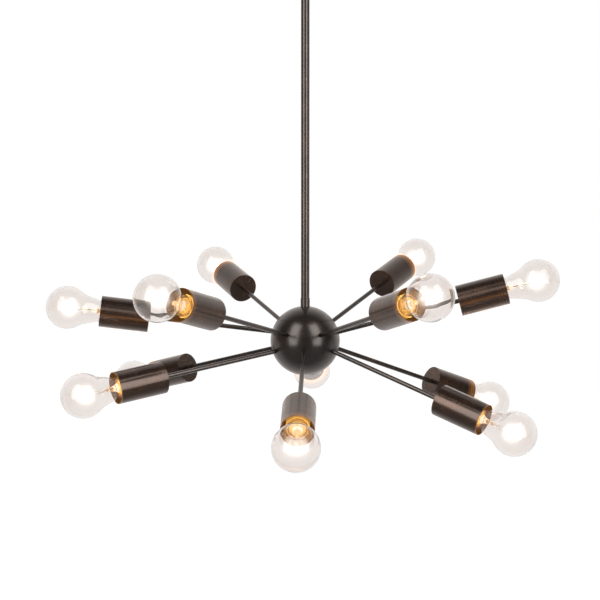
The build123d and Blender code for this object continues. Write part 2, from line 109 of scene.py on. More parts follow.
# ---------------------------------------------------------------- sizes and colours
class BulbSettings(bpy.types.PropertyGroup):
    """Sizes of a bulb, with heights above its contact."""

    globe_radius: FloatProperty(
        name="Globe radius", description="Outside radius of the glass globe",
        default=29.9 * mm, unit="LENGTH")
    length: FloatProperty(
        name="Length", description="From the contact to the globe's crown",
        default=107.9 * mm, unit="LENGTH")
    shoulder_angle: FloatProperty(
        name="Shoulder angle", description="Where the globe meets the neck, seen from its centre",
        default=radians(54), subtype="ANGLE")
    neck_radius: FloatProperty(
        name="Neck radius", description="Outside radius half way up the neck",
        default=16.9 * mm, unit="LENGTH")
    neck_height: FloatProperty(
        name="Neck height", description="Where the neck radius is taken",
        default=41 * mm, unit="LENGTH")
    throat_radius: FloatProperty(
        name="Throat radius", description="Outside radius of the glass just above the screw base",
        default=13.5 * mm, unit="LENGTH")
    glass: FloatProperty(
        name="Glass", description="Thickness of the globe's wall", default=0.6 * mm, unit="LENGTH")
    base_radius: FloatProperty(
        name="Base radius", description="Crest radius of the screw base",
        default=13 * mm, unit="LENGTH")
    base_height: FloatProperty(
        name="Base height", description="Top edge of the screw base", default=27 * mm, unit="LENGTH")
    base_foot: FloatProperty(
        name="Base foot", description="Lower edge of the screw base", default=4.5 * mm, unit="LENGTH")
    thread_pitch: FloatProperty(
        name="Thread pitch", description="Rise of the rolled thread in one turn",
        default=3.63 * mm, unit="LENGTH")
    thread_depth: FloatProperty(
        name="Thread depth", description="From the thread's crest to its root",
        default=0.9 * mm, unit="LENGTH")
    stem_height: FloatProperty(
        name="Stem height", description="Top of the glass stem", default=46 * mm, unit="LENGTH")
    filament_height: FloatProperty(
        name="Filament height", description="Height of the coil", default=75 * mm, unit="LENGTH")
    filament_span: FloatProperty(
        name="Filament span", description="Length of the coil between its hooks",
        default=22 * mm, unit="LENGTH")
    glare_radius: FloatProperty(
        name="Glare radius", description="How far the light around a point of the filament reaches",
        default=17 * mm, unit="LENGTH")
    glare_spread: FloatProperty(
        name="Glare spread", description="From the filament's middle to the outer two glare points",
        default=6.5 * mm, unit="LENGTH")
    glare_steps: IntProperty(
        name="Glare steps", description="Lamps nested around a glare point", default=5, min=1, max=12)
    glare_radiance: FloatProperty(
        name="Glare radiance", description="Brightness of the widest lamp of a nest", default=0.014)
    glare_growth: FloatProperty(
        name="Glare growth", description="How many times brighter each narrower lamp is", default=1.9)
    mouth_height: FloatProperty(
        name="Mouth height", description="Where the rim of the cup round the bulb lies",
        default=32.5 * mm, unit="LENGTH")
    steps: IntProperty(
        name="Steps", description="Sides of a turned surface", default=96, min=16, max=128)


class FinishSettings(bpy.types.PropertyGroup):
    """Colours of the finishes and of the light."""

    bronze: FloatVectorProperty(
        name="Bronze", description="Dark satin bronze of the ball, rod and arms",
        default=(0.040, 0.0345, 0.0315), size=3, subtype="COLOR", min=0, max=1)
    # painted warm light: the cups share the arms' paint, and this browner copy stands in for the bulbs'
    # warm light on them
    bronze_cup_painted_warmth: FloatVectorProperty(
        name="Cup bronze", description="Browner satin bronze of the cups",
        default=(0.044, 0.0285, 0.0215), size=3, subtype="COLOR", min=0, max=1)
    bronze_worn: FloatVectorProperty(
        name="Worn bronze", description="Where the dark finish is rubbed thin",
        default=(0.22, 0.115, 0.060), size=3, subtype="COLOR", min=0, max=1)
    glass_tint: FloatVectorProperty(
        name="Glass tint", description="What the globe's wall lets through",
        default=(0.894, 0.859, 0.838), size=3, subtype="COLOR", min=0, max=1)
    # painted glow of the globe's glass, given as emission, standing in for the bulb's light scattered in
    # its wall
    painted_glass_glow: FloatVectorProperty(
        name="Glass veil", description="Light that the globe's wall scatters",
        default=(0.006, 0.0055, 0.005), size=3, subtype="COLOR", min=0, max=1)
    glare: FloatVectorProperty(
        name="Glare", description="Light around the filament",
        default=(1.0, 0.94, 0.86), size=3, subtype="COLOR", min=0, max=1)
    filament_light: FloatVectorProperty(
        name="Filament light", description="Light that a filament throws",
        default=(1.0, 0.58, 0.24), size=3, subtype="COLOR", min=0, max=1)
    mirrored_light: FloatVectorProperty(
        name="Mirrored light", description="Light of a bulb that only the metal mirrors",
        default=(1.0, 0.50, 0.16), size=3, subtype="COLOR", min=0, max=1)
    mouth_glow: FloatVectorProperty(
        name="Mouth glow", description="Glow round a cup's mouth",
        default=(1.0, 0.38, 0.08), size=3, subtype="COLOR", min=0, max=1)
    copper_light: FloatVectorProperty(
        name="Copper light", description="Low strip that only the cups mirror",
        default=(1.0, 0.50, 0.12), size=3, subtype="COLOR", min=0, max=1)
    pale_light: FloatVectorProperty(
        name="Pale light", description="High strip that only the cups mirror",
        default=(1.0, 0.94, 0.88), size=3, subtype="COLOR", min=0, max=1)
    # painted glow: the gold that the socket's porcelain and brass give off as emission, standing in for
    # the bulb's warm light falling on them
    painted_socket_glow: FloatVectorProperty(
        name="Socket gold", description="The socket's mouth in the bulb's light",
        default=(1.0, 0.53, 0.08), size=3, subtype="COLOR", min=0, max=1)
    brass: FloatVectorProperty(
        name="Brass", description="Screw shells and contacts",
        default=(0.78, 0.57, 0.25), size=3, subtype="COLOR", min=0, max=1)
    zinc: FloatVectorProperty(
        name="Zinc", description="Plated strap, nuts and nipples",
        default=(0.58, 0.59, 0.60), size=3, subtype="COLOR", min=0, max=1)


class StageSettings(bpy.types.PropertyGroup):
    """Camera, floor and lamps."""

    camera_distance: FloatProperty(
        name="Camera distance", description="From the camera to the ball's centre",
        default=2.0068, unit="LENGTH")
    camera_turn: FloatProperty(
        name="Camera turn", description="How far the camera stands round to the right",
        default=radians(2.76), subtype="ANGLE")
    camera_rise: FloatProperty(
        name="Camera rise", description="How far above the ball's level it looks from",
        default=radians(6.96), subtype="ANGLE")
    aim_up: FloatProperty(
        name="Aim up", description="How far above the ball the camera is aimed",
        default=radians(1.636), subtype="ANGLE")
    aim_left: FloatProperty(
        name="Aim left", description="How far left of the ball the camera is aimed",
        default=radians(0.210), subtype="ANGLE")
    lens: FloatProperty(
        name="Lens", description="Focal length in millimetres on a 36 mm wide sensor", default=85.1)
    floor_drop: FloatProperty(
        name="Floor drop", description="From the ceiling down to the studio floor",
        default=1.75, unit="LENGTH")
    floor_radius: FloatProperty(
        name="Floor radius", description="How far the floor reaches", default=30.0, unit="LENGTH")
    softbox_power: FloatProperty(
        name="Softbox power", description="Of each of the two tall softboxes", default=57.0,
        unit="POWER")
    softbox_turn: FloatProperty(
        name="Softbox turn", description="From straight behind the camera round to each tall softbox",
        default=radians(40), subtype="ANGLE")
    softbox_distance: FloatProperty(
        name="Softbox distance", description="From the ball to a tall softbox, seen from above",
        default=2.2, unit="LENGTH")
    softbox_lift: FloatProperty(
        name="Softbox lift", description="How far above the ball a tall softbox stands",
        default=1.0, unit="LENGTH")
    overhead_power: FloatProperty(
        name="Overhead power", description="Of the softbox above", default=9.0, unit="POWER")
    filament_power: FloatProperty(
        name="Filament power", description="Warm light of each filament", default=0.14, unit="POWER")
    mirrored_power: FloatProperty(
        name="Mirrored power", description="Warm light of each bulb that only the metal mirrors",
        default=2.0, unit="POWER")
    copper_power: FloatProperty(
        name="Copper power", description="Of the low warm strip that only the cups mirror",
        default=1.5, unit="POWER")
    pale_power: FloatProperty(
        name="Pale power", description="Of the high pale strip that only the cups mirror",
        default=1.8, unit="POWER")
    copper_lift: FloatProperty(
        name="Copper lift", description="Height of the copper strip above the ball",
        default=-0.42, unit="LENGTH")
    pale_lift: FloatProperty(
        name="Pale lift", description="Height of the pale strip above the ball",
        default=0.52, unit="LENGTH")
    strip_distance: FloatProperty(
        name="Strip distance", description="From the ball forward to the two strips",
        default=1.0, unit="LENGTH")
    fill: FloatProperty(
        name="Fill", description="Even light from the white room", default=0.22)


# ---------------------------------------------------------------- shaders
class Amount:
    """A number that varies over a surface. Arithmetic on it adds Math nodes to its finish."""

    def __init__(self, finish, socket):
        self.finish = finish
        self.socket = socket

    def calculate(self, operation, *values):
        made = self.finish.node("ShaderNodeMath", {"operation": operation}, dict(enumerate(values)))
        return Amount(self.finish, made.outputs[0])

    def __add__(self, other):
        return self.calculate("ADD", self, other)

    def __mul__(self, other):
        return self.calculate("MULTIPLY", self, other)

    def __rsub__(self, other):
        return self.calculate("SUBTRACT", other, self)

    __radd__ = __add__
    __rmul__ = __mul__

    def sine(self):
        return self.calculate("SINE", self)

    def angle_from(self, other):
        return self.calculate("ARCTAN2", self, other)

    def ramp(self, start, end):
        """Rises smoothly from 0 at start to 1 at end."""
        made = self.finish.node(
            "ShaderNodeMapRange",
            {"interpolation_type": "SMOOTHSTEP"},
            {"Value": self, "From Min": start, "From Max": end},
        )
        return Amount(self.finish, made.outputs["Result"])


class Finish:
    """One material: its nodes, its own coordinates and its surface."""

    def __init__(self, tree, place=None):
        self.tree = tree
        self.tree.nodes.clear()
        self.position = self.node("ShaderNodeTexCoord").outputs["Object"]
        if place:
            turned = {
                "Vector": self.position,
                "Location": place.translation,
                "Rotation": place.to_euler(),
            }
            self.position = self.node("ShaderNodeMapping", {"vector_type": "TEXTURE"}, turned).outputs[0]

    def node(self, kind, settings=None, sockets=None):
        """Adds a node of that type: first its settings, then the values or links of its sockets."""
        made = self.tree.nodes.new(kind)
        for name, value in (settings or {}).items():
            setattr(made, name, value)
        for name, value in (sockets or {}).items():
            source = value.socket if isinstance(value, Amount) else value
            if isinstance(source, bpy.types.NodeSocket):
                self.tree.links.new(source, made.inputs[name])
            else:
                made.inputs[name].default_value = source
        return made

    def coordinates(self, source=None):
        """The three coordinates of a point, each as an amount."""
        made = self.node("ShaderNodeSeparateXYZ", None, {0: source or self.position})
        return [Amount(self, socket) for socket in made.outputs]

    def noise(self, scale, detail=3.0, stretch=(1, 1, 1)):
        """Cloudy noise around 0.5, with spots of about 1 / scale metres, longer where stretch is small."""
        stretched = self.node("ShaderNodeMapping", None, {"Vector": self.position, "Scale": stretch})
        made = self.node(
            "ShaderNodeTexNoise", None,
            {"Vector": stretched.outputs[0], "Scale": scale, "Detail": detail},
        )
        return Amount(self, made.outputs["Fac"])

    def mix(self, amount, low, high):
        """Colour between two colours."""
        made = self.node("ShaderNodeMix", {"data_type": "RGBA"}, {0: amount, 6: low, 7: high})
        return made.outputs[2]

    def rubbed_edges(self, radius):
        """1 along convex and concave edges, 0 on open surfaces."""
        rounded = self.node("ShaderNodeBevel", {"samples": 4}, {"Radius": radius}).outputs[0]
        flat = self.node("ShaderNodeNewGeometry").outputs["Normal"]
        likeness = self.node("ShaderNodeVectorMath", {"operation": "DOT_PRODUCT"}, {0: rounded, 1: flat})
        return (1 - Amount(self, likeness.outputs["Value"])).ramp(0.02, 0.30)

    def relief(self, height, depth):
        """Normal of a surface whose relief is as deep as depth, where the height is 1."""
        made = self.node("ShaderNodeBump", None, {"Height": height, "Distance": depth})
        return made.outputs[0]

    def rays(self, *kinds):
        """1 on rays of any of those kinds, 0 on others."""
        outputs = self.node("ShaderNodeLightPath").outputs
        return sum(Amount(self, outputs[f"Is {kind} Ray"]) for kind in kinds).ramp(0, 1)

    def surface(self, sockets):
        """Principled surface with those sockets."""
        made = self.node("ShaderNodeBsdfPrincipled", None, sockets)
        self.node("ShaderNodeOutputMaterial", None, {"Surface": made.outputs[0]})


def colour(values):
    """Colour setting with its alpha."""
    return (*values, 1.0)


def new_finish(name, place=None):
    """Empty material and its finish."""
    material = bpy.data.materials.new(name)
    material.use_nodes = True
    return material, Finish(material.node_tree, place)


def bronze(name, base, place=None, gloss=0.30, streak=(1, 1, 1)):
    """Oil-rubbed bronze: dark satin metal, cloudy in tone, copper at worn edges.

    Its fine grooves run across the direction in which streak is 1, as a lathe leaves them on a tube.
    """
    colours = bpy.context.scene.chandelier_finish
    material, finish = new_finish(name, place)
    clouds = finish.noise(38, 4.0)
    brushing = finish.noise(1400, 2.0, streak)
    speckle = finish.noise(2600, 2.0)
    warm = [channel * gain for channel, gain in zip(base, (1.40, 1.25, 1.15))]
    metal = finish.mix(clouds.ramp(0.38, 0.72), colour(base), colour(warm))
    worn = finish.rubbed_edges(0.5 * mm) * clouds.ramp(0.30, 0.75)
    finish.surface({
        "Base Color": finish.mix(worn * 0.55, metal, colour(colours.bronze_worn)),
        "Metallic": 0.85,
        "Roughness": clouds * 0.10 + brushing * 0.04 + (gloss - 0.07),
        "Specular Tint": (0.95, 0.88, 0.84, 1),
        "Coat Weight": 0.6,
        "Coat Roughness": 0.22,
        "Coat Tint": (1.0, 0.95, 0.92, 1),
        "Normal": finish.relief(brushing * 0.8 + speckle * 0.2, 0.010 * mm),
    })
    return material


def zinc(name):
    """Zinc plate: bright grey steel with a faint crystal pattern and fine scratches."""
    material, finish = new_finish(name)
    grey = bpy.context.scene.chandelier_finish.zinc
    flakes = finish.noise(420, 4.0)
    scratches = finish.noise(2500, 2.0, (1, 0.08, 1))
    finish.surface({
        "Base Color": finish.mix(flakes, colour([0.8 * channel for channel in grey]), colour(grey)),
        "Metallic": 1.0,
        "Roughness": flakes * 0.18 + scratches * 0.12 + 0.16,
        "Normal": finish.relief(scratches, 0.03 * mm),
    })
    return material


def screw_steel(name):
    """Zinc plate on the canopy screws and green on the ground screw, which stands nearer the middle."""
    green_reach = 22 * mm
    soft_edge = 4 * mm
    material, finish = new_finish(name)
    across = finish.coordinates()[0]
    flakes = finish.noise(420, 4.0)
    green = (across * across * -1 + green_reach**2).ramp(0, soft_edge**2)
    plate = finish.mix(green, (0.55, 0.56, 0.57, 1), (0.03, 0.22, 0.07, 1))
    finish.surface({
        "Base Color": finish.mix(flakes * 0.4, plate, (0.25, 0.26, 0.24, 1)),
        "Metallic": 0.85,
        "Roughness": flakes * 0.2 + 0.2,
    })
    return material


def brass(name, painted_glow_strength):
    """Brass that has lost its shine in spots, with a painted glow: emission in the socket's gold that
    stands in for the bulb's warm light on it, as strong as the second argument.
    """
    colours = bpy.context.scene.chandelier_finish
    material, finish = new_finish(name)
    tarnish = finish.noise(260, 5.0)
    dull = [channel * gain for channel, gain in zip(colours.brass, (0.62, 0.55, 0.42))]
    sheen = finish.noise(1800, 2.0)
    finish.surface({
        "Base Color": finish.mix(tarnish.ramp(0.35, 0.75), colour(colours.brass), colour(dull)),
        "Metallic": 1.0,
        "Roughness": tarnish * 0.25 + sheen * 0.06 + 0.14,
        # painted glow of the bulb's warm light on the brass
        "Emission Color": finish.mix(tarnish, colour(colours.painted_socket_glow), colour(dull)),
        "Emission Strength": painted_glow_strength,
        "Normal": finish.relief(sheen, 0.015 * mm),
    })
    return material


def porcelain(name):
    """Ivory glaze with the bulb's warm light painted on: its base colour is the glaze's gold in that
    light, and a painted glow in the socket's gold is added as emission.
    """
    colours = bpy.context.scene.chandelier_finish
    material, finish = new_finish(name)
    mottle = finish.noise(180, 3.0)
    ripple = finish.noise(500, 2.0)
    deep = [channel * gain for channel, gain in zip(colours.painted_socket_glow, (0.9, 0.78, 0.6))]
    finish.surface({
        # painted warm light: gold base colour of the glaze as lit by the bulb
        "Base Color": finish.mix(mottle, (0.60, 0.43, 0.16, 1), (0.46, 0.30, 0.09, 1)),
        "Roughness": mottle * 0.2 + 0.18,
        # painted glow of the bulb's light on the glaze
        "Emission Color": finish.mix(mottle.ramp(0.3, 0.7), colour(colours.painted_socket_glow), colour(deep)),
        "Emission Strength": 0.42,
        "Normal": finish.relief(ripple, 0.02 * mm),
    })
    return material


def insulation(name):
    """Plastic insulation, black to the left of the middle and white to the right, slightly dusty."""
    material, finish = new_finish(name)
    across = finish.coordinates()[0]
    dust = finish.noise(700, 3.0)
    lead = finish.mix(across.ramp(-0.1 * mm, 0.1 * mm), (0.022, 0.022, 0.024, 1), (0.62, 0.61, 0.58, 1))
    finish.surface({
        "Base Color": finish.mix(dust * 0.12, lead, (0.35, 0.33, 0.30, 1)),
        "Roughness": dust * 0.25 + 0.38,
        "Normal": finish.relief(dust, 0.03 * mm),
    })
    return material


def jacket(name, wrap=0.0):
    """Dark cable jacket. With a wrap, tape winds round it at that pitch."""
    material, finish = new_finish(name)
    across, deep, height = finish.coordinates()
    dust = finish.noise(600, 3.0)
    relief = dust * 0.3
    if wrap:
        relief = relief + (height * (2 * pi / wrap) + deep.angle_from(across)).sine() * 0.7
    finish.surface({
        "Base Color": finish.mix(dust, (0.030, 0.026, 0.024, 1), (0.070, 0.060, 0.054, 1)),
        "Roughness": dust * 0.3 + 0.42,
        "Normal": finish.relief(relief, 0.25 * mm if wrap else 0.04 * mm),
    })
    return material


def moulded(name):
    """Orange moulded plastic with fine flow marks."""
    material, finish = new_finish(name)
    flow = finish.noise(300, 4.0, (1, 0.25, 1))
    finish.surface({
        "Base Color": finish.mix(flow, (0.72, 0.22, 0.025, 1), (0.86, 0.33, 0.05, 1)),
        "Roughness": flow * 0.2 + 0.3,
        "Normal": finish.relief(flow, 0.06 * mm),
    })
    return material


def clear_glass(name, tint, veil):
    """Clear lamp glass with faint cords and smears. Its emission is a painted glow of the bulb's light, as
    if scattered in the wall, thicker on the smears.
    """
    material, finish = new_finish(name)
    cords = finish.noise(35, 1.0)
    smear = finish.noise(90, 4.0)
    shaded = [channel * 0.985 for channel in tint]
    thicker_painted_glow = [channel * 1.5 for channel in veil]
    finish.surface({
        "Base Color": finish.mix(smear, colour(tint), colour(shaded)),
        "Roughness": smear.ramp(0.45, 0.85) * 0.02,
        "IOR": 1.48,
        "Transmission Weight": 1.0,
        # painted glow: emission standing in for the bulb's light scattered in the glass
        "Emission Color": finish.mix(smear.ramp(0.35, 0.7), colour(veil), colour(thicker_painted_glow)),
        "Emission Strength": 1.0,
        "Normal": finish.relief(cords, 0.04 * mm),
    })
    material.cycles.emission_sampling = "NONE"
    return material


def hot_wire(name):
    """White-hot tungsten, a little cooler where the coil meets its hooks."""
    material, finish = new_finish(name)
    heat = finish.noise(120, 1.0)
    finish.surface({
        "Base Color": (0.3, 0.28, 0.26, 1),
        "Metallic": 1.0,
        "Roughness": heat * 0.1 + 0.4,
        "Emission Color": finish.mix(heat, (1.0, 0.86, 0.62, 1), (1.0, 0.93, 0.80, 1)),
        "Emission Strength": 12.0,
    })
    return material


def nickel_wire(name):
    """Nickel wires that hold the filament."""
    material, finish = new_finish(name)
    drawn = finish.noise(900, 2.0)
    finish.surface({
        "Base Color": finish.mix(drawn, (0.30, 0.28, 0.26, 1), (0.42, 0.39, 0.35, 1)),
        "Metallic": 1.0,
        "Roughness": drawn * 0.15 + 0.25,
    })
    return material


def black_glass(name):
    """Black glass between a screw base and its contact."""
    material, finish = new_finish(name)
    swirl = finish.noise(240, 4.0)
    finish.surface({
        "Base Color": finish.mix(swirl, (0.012, 0.011, 0.012, 1), (0.035, 0.028, 0.032, 1)),
        "Roughness": swirl * 0.2 + 0.08,
        "Normal": finish.relief(swirl, 0.05 * mm),
    })
    return material


def solder(name):
    """Soft solder of the contact."""
    material, finish = new_finish(name)
    lumps = finish.noise(700, 3.0)
    finish.surface({
        "Base Color": finish.mix(lumps, (0.42, 0.41, 0.40, 1), (0.60, 0.59, 0.57, 1)),
        "Metallic": 1.0,
        "Roughness": lumps * 0.25 + 0.28,
        "Normal": finish.relief(lumps, 0.15 * mm),
    })
    return material


# ---------------------------------------------------------------- surfaces
def new_mesh(name, points, faces):
    """Smooth mesh object from an array of points and a list of faces."""
    mesh = bpy.data.meshes.new(name)
    mesh.from_pydata(points.tolist(), [], faces)
    mesh.polygons.foreach_set("use_smooth", np.full(len(mesh.polygons), True))
    mesh.update()
    piece = bpy.data.objects.new(name, mesh)
    bpy.context.scene.collection.objects.link(piece)
    return piece


def placed(points, place):
    """Points moved from a lamp's own frame to the part's."""
    matrix = np.array(place)
    return points @ matrix[:3, :3].T + matrix[:3, 3]


def grid_faces(rows, columns, closed_rows):
    """Quads of a grid whose columns close round, and whose rows close too if told."""
    row = np.arange(rows if closed_rows else rows - 1)[:, None]
    column = np.arange(columns)[None, :]
    after = (row + 1) % rows
    beside = (column + 1) % columns
    corners = (
        row * columns + column,
        row * columns + beside,
        after * columns + beside,
        after * columns + column,
    )
    return np.stack(np.broadcast_arrays(*corners), -1).reshape(-1, 4)


def capped_faces(rows, columns):
    """Faces of a grid whose columns close round, with its two ends closed.

    The point after the grid is the middle of the first row's fan, and the one after that is the
    middle of the last row's.
    """
    column = np.arange(columns)
    beside = (column + 1) % columns
    first_pole = np.full(columns, rows * columns)
    last_row = (rows - 1) * columns
    start = np.stack((first_pole, beside, column), -1)
    end = np.stack((last_row + column, last_row + beside, first_pole + 1), -1)
    return grid_faces(rows, columns, False).tolist() + start.tolist() + end.tolist()


def turned(name, radii, heights, steps, place):
    """Closed surface turned round a lamp's axis.

    A point is (radius cos angle, radius sin angle, height), where radius and height run along the
    profile and the angle runs once round. The profile starts and ends on the axis, where its first
    and last points are single poles, and it runs so that the outside is on its right.
    """
    angle = np.linspace(0, 2 * pi, steps, endpoint=False)
    radius = np.asarray(radii)[1:-1, None]
    height = np.asarray(heights)[1:-1, None]
    rings = np.stack(np.broadcast_arrays(radius * np.cos(angle), radius * np.sin(angle), height), -1)
    poles = np.array([(0, 0, heights[0]), (0, 0, heights[-1])])
    points = np.concatenate((rings.reshape(-1, 3), poles))
    return new_mesh(name, placed(points, place), capped_faces(len(rings), steps))


def piped(name, route, radius, sides, place):
    """Round wire along a route, closed at both ends.

    A point is the route's point plus radius times (cos angle side + sin angle up), where side and
    up are at right angles to the route. The two ends draw in to the route itself.
    """
    tangent = np.gradient(route, axis=0)
    tangent /= np.linalg.norm(tangent, axis=1)[:, None]
    spare = np.where(np.abs(tangent[:, 1:2]) < 0.9, (0, 1, 0), (1, 0, 0))
    side = np.cross(tangent, spare)
    side /= np.linalg.norm(side, axis=1)[:, None]
    up = np.cross(tangent, side)
    angle = np.linspace(0, 2 * pi, sides, endpoint=False)[None, :, None]
    rings = route[:, None] + radius * (np.cos(angle) * side[:, None] + np.sin(angle) * up[:, None])
    points = np.concatenate((rings.reshape(-1, 3), route[:1], route[-1:]))
    return new_mesh(name, placed(points, place), capped_faces(len(rings), sides))


def hermite(start, end, start_slope, end_slope, steps):
    """Cubic from start to end with those slopes, without its last point."""
    t = np.linspace(0, 1, steps, endpoint=False)[:, None]
    return (
        (2 * t**3 - 3 * t**2 + 1) * start
        + (t**3 - 2 * t**2 + t) * start_slope
        + (3 * t**2 - 2 * t**3) * end
        + (t**3 - t**2) * end_slope
    )


def globe_profile(bulb):
    """Outside of the glass from inside the screw base up to the crown, as radius and height.

    The globe is an arc from the shoulder to the crown. Two cubics run down from the shoulder through
    the neck to the throat, and a short curl carries the glass down into the screw base.
    """
    centre = bulb.length - bulb.globe_radius
    turn = np.linspace(bulb.shoulder_angle, pi, 44)
    globe = np.stack((np.sin(turn), -np.cos(turn)), -1) * bulb.globe_radius + (0, centre)
    shoulder = globe[0]
    neck = np.array((bulb.neck_radius, bulb.neck_height))
    throat = np.array((bulb.throat_radius, bulb.base_height + 0.9 * mm))
    sunk_radius = bulb.base_radius - 1.0 * mm
    foot = np.array((sunk_radius, bulb.base_height - 4 * mm))
    rim = np.array((sunk_radius, bulb.base_height - 1.0 * mm))
    chord = shoulder - throat
    neck_way = chord / np.linalg.norm(chord)
    throat_way = np.array((0.45, 0.89))
    shoulder_way = np.array((cos(bulb.shoulder_angle), sin(bulb.shoulder_angle)))
    lower = np.linalg.norm(neck - throat)
    upper = np.linalg.norm(shoulder - neck)
    curl = np.linalg.norm(throat - rim)
    return np.concatenate((
        foot[None],
        hermite(rim, throat, np.array((0, curl)), throat_way * curl, 4),
        hermite(throat, neck, throat_way * lower, neck_way * lower, 10),
        hermite(neck, shoulder, neck_way * upper, shoulder_way * upper, 14),
        globe,
    ))


def glass_globe(name, bulb, place):
    """Glass envelope with its wall.

    The profile runs from the inner crown down the inner wall, round the rim in the screw base and up
    the outer wall to the crown. The inner wall is the outer one moved in by the glass, at right
    angles to it.
    """
    outside = globe_profile(bulb)
    way = np.gradient(outside, axis=0)
    way /= np.linalg.norm(way, axis=1)[:, None]
    inside = outside - bulb.glass * np.stack((way[:, 1], -way[:, 0]), -1)
    inside[-1] = (0, bulb.length - bulb.glass)
    outside[-1, 0] = 0
    profile = np.concatenate((inside[::-1], outside))
    return turned(name, profile[:, 0], profile[:, 1], bulb.steps, place)


def screw_base(name, bulb, place):
    """Rolled screw shell.

    The radius is the crest radius less the thread depth times half of one plus the cosine of the
    turns, which count both the height over the pitch and the angle, and fades to the crest at both
    ends. A chamfer draws in the foot, and a crimp below the top is a bell curve of the height. The
    inner wall follows at the sheet's thickness, and the profile closes round the two rims.
    """
    sheet = 0.35 * mm
    run_in = 1.5 * mm
    lower_margin = 1.0 * mm
    upper_margin = 5.0 * mm
    chamfer = 1.2 * mm
    crimp_drop = 2.6 * mm
    crimp_width = 0.7 * mm
    crimp_depth = 0.35 * mm
    rows = 56
    height = np.linspace(bulb.base_foot, bulb.base_height, rows)
    angle = np.linspace(0, 2 * pi, bulb.steps, endpoint=False)
    turns = height[:, None] / bulb.thread_pitch - angle / (2 * pi)
    low_end = np.clip((height - bulb.base_foot - lower_margin) / run_in, 0, 1)
    high_end = np.clip((bulb.base_height - upper_margin - height) / run_in, 0, 1)
    fade = (low_end * high_end)[:, None]
    taper = np.clip(1 - (height - bulb.base_foot) / chamfer, 0, 1)[:, None] * chamfer
    from_crimp = (bulb.base_height - crimp_drop - height) / crimp_width
    crimp = np.exp(-(from_crimp**2))[:, None] * crimp_depth
    depth = bulb.thread_depth * fade * (0.5 + 0.5 * np.cos(2 * pi * turns))
    outer = bulb.base_radius - depth - taper - crimp
    radius = np.concatenate((outer, (outer - sheet)[::-1]))
    level = np.concatenate((height, height[::-1]))[:, None]
    points = np.stack(
        np.broadcast_arrays(radius * np.cos(angle), radius * np.sin(angle), level), -1
    ).reshape(-1, 3)
    faces = grid_faces(2 * rows, bulb.steps, True).tolist()
    return new_mesh(name, placed(points, place), faces)


def base_insulator(name, bulb, place):
    """Black glass cone, from the contact out to the foot of the screw base.

    Its radius grows evenly, and its height as the 1.4th power of the way.
    """
    foot = bulb.base_foot
    tip_radius = 4.9 * mm
    tip_height = 1.1 * mm
    rim_radius = bulb.base_radius - 1.9 * mm
    top_radius = bulb.base_radius - 2.6 * mm
    top = foot + 1.4 * mm
    slope = np.linspace(0, 1, 8)
    radius = tip_radius + (rim_radius - tip_radius) * slope
    height = tip_height + (foot - tip_height) * slope**1.4
    radii = np.concatenate(((0,), radius, (top_radius, 0)))
    heights = np.concatenate(((tip_height,), height, (top, top)))
    return turned(name, radii, heights, bulb.steps, place)


def base_contact(name, bulb, place):
    """Solder button: a flat disc whose edge rolls over in a quarter circle."""
    radius = 4.8 * mm
    height = 1.0 * mm
    roll = np.linspace(0, pi / 2, 7)
    radii = np.concatenate(((0,), radius - height + height * np.sin(roll), (0,)))
    heights = np.concatenate(((0,), height - height * np.cos(roll), (height,)))
    return turned(name, radii, heights, bulb.steps // 2, place)


def stem_profile(bulb, rise):
    """Radius and height of the flared stem: the radius falls from the flare to the pinch as a cube."""
    pinch_radius = 2.9 * mm
    flare = bulb.base_radius - 5.2 * mm
    foot = bulb.base_height - 1.5 * mm
    pinch = bulb.stem_height - 1.0 * mm
    return pinch_radius + flare * (1 - rise) ** 3, foot + (pinch - foot) * rise


def stem_flare(name, bulb, place):
    """Foot of the stem, which closes the neck: a thin disc that draws in to the stem."""
    radius, height = stem_profile(bulb, np.linspace(0, flare_share, 8))
    foot = bulb.base_height - 3.0 * mm
    rim_radius = 11.0 * mm
    radii = np.concatenate(((0, rim_radius), radius, (0,)))
    heights = np.concatenate(((foot, foot), height, height[-1:]))
    return turned(name, radii, heights, bulb.steps // 2, place)


def glass_stem(name, bulb, place):
    """Glass stem just above the flare, which narrows to the pinch."""
    radius, height = stem_profile(bulb, np.linspace(flare_share, 1, 14))
    tip_radius = 2.0 * mm
    gap = 0.1 * mm
    radii = np.concatenate(((0,), radius, (tip_radius, 0)))
    heights = np.concatenate((height[:1], height, (bulb.stem_height, bulb.stem_height))) + gap
    return turned(name, radii, heights, bulb.steps // 2, place)


def lead_wire(name, bulb, side, place):
    """Wire from the stem to one end of the filament.

    Its distance from the axis grows from the stem to half the span along a smooth step, while its
    height grows evenly.
    """
    rise = np.linspace(0, 1, 20)
    step = rise**2 * (3 - 2 * rise)
    start = bulb.stem_height - 4 * mm
    foot = 1.6 * mm
    wire_radius = 0.25 * mm
    away = foot + (bulb.filament_span / 2 - foot) * step
    height = start + (bulb.filament_height - start) * rise
    route = np.stack((side * away, np.zeros_like(rise), height), -1)
    return piped(name, route, wire_radius, 8, place)


def filament(name, bulb, place):
    """Coil from hook to hook: a helix round a line that bows up a little in the middle."""
    turns = 26
    points_per_turn = 12
    coil = 0.75 * mm
    wire_radius = 0.14 * mm
    bow_height = 1.2 * mm
    t = np.linspace(0, 1, turns * points_per_turn + 1)
    angle = 2 * pi * turns * t
    bow = bow_height * 4 * t * (1 - t)
    route = np.stack((
        (t - 0.5) * bulb.filament_span,
        coil * np.cos(angle),
        bulb.filament_height + bow + coil * np.sin(angle),
    ), -1)
    return piped(name, route, wire_radius, 5, place)


# ---------------------------------------------------------------- operators
def dress(nodes, material):
    """Gives CAD nodes a finish in every material slot."""
    for name in nodes:
        slots = frame["nodes"][name].material_slots
        if not slots:
            frame["nodes"][name].data.materials.append(material)
        for slot in slots:
            slot.material = material


